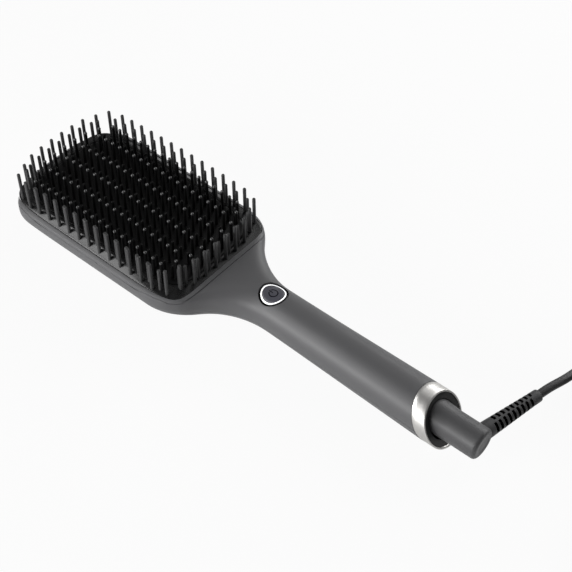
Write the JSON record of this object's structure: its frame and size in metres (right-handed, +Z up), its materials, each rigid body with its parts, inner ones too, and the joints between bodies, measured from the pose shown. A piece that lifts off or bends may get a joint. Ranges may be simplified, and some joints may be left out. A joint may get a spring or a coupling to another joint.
{
  "type": "hair_straightening_brush",
  "caption": "Matte grey heated paddle brush with a black bristled plate, a power button with a light ring, a bright end band and a swivel lead in a tied coil.",
  "frame": {"origin": "middle of the brush without its lead, on the surface that it lies on", "axes": "+X from the far end of the head to the lead end of the handle, +Y across the brush towards the lead, +Z up, the way the bristles point"},
  "size_m": [0.4006, 0.1795, 0.0461],
  "materials": {
    "housing": "satin dark grey soft-touch",
    "bristle": "glossy black",
    "spreader": "plain",
    "ceramic": "matte cream",
    "insulation": "matte",
    "sensor": "glossy",
    "steel": "plain",
    "wire": "matte",
    "board": "satin green",
    "capacitor": "glossy yellow",
    "black_plastic": "matte black",
    "light": "clear white, lit",
    "button": "satin dark grey",
    "bright_metal": "bright satin",
    "contact": "plain",
    "lead": "matte black",
    "pin_metal": "bright nickel"
  },
  "bodies": {
    "body": {"rear_shell": "housing", "front_shell": "housing", "front_bezel": "housing", "edge_bristles": "bristle", "field_bristles": "bristle", "heat_spreader": "spreader", "heater_left": "ceramic", "heater_right": "ceramic", "insulation_board": "insulation", "temperature_sensor": "sensor", "thermal_fuse": "steel", "plate_screws": "steel", "heater_leads": "wire", "sensor_leads": "wire", "main_board": "board", "board_screws": "steel", "film_capacitor": "capacitor", "power_switch": "black_plastic", "control_chip": "black_plastic", "tact_switch": "black_plastic", "status_leds": "light", "button_well": "black_plastic", "light_ring": "light", "end_band": "bright_metal", "end_socket": "black_plastic", "contact_holder": "ceramic", "contact_leaves": "contact", "supply_leads": "wire"},
    "button": {"button_cap": "button", "switch_plunger": "ceramic"},
    "swivel": {"swivel_barrel": "housing", "retaining_clip": "steel", "slip_rings": "contact", "lead_core": "lead", "strain_relief": "lead", "cord_run": "lead", "cord_coil": "lead", "cord_tail": "lead", "cord_tie": "lead", "plug_body": "lead", "plug_pins": "pin_metal"}
  },
  "joints": [
    {"name": "button_press", "type": "slide", "parent": "body", "child": "button", "axis": [0, 0, -1], "range_m": [0, 0.0006], "stiffness_N_per_m": 1500},
    {"name": "swivel_turn", "type": "hinge", "parent": "body", "child": "swivel", "pos_m": [0.117, 0, 0.01435], "axis": [1, 0, 0], "continuous": true}
  ]
}
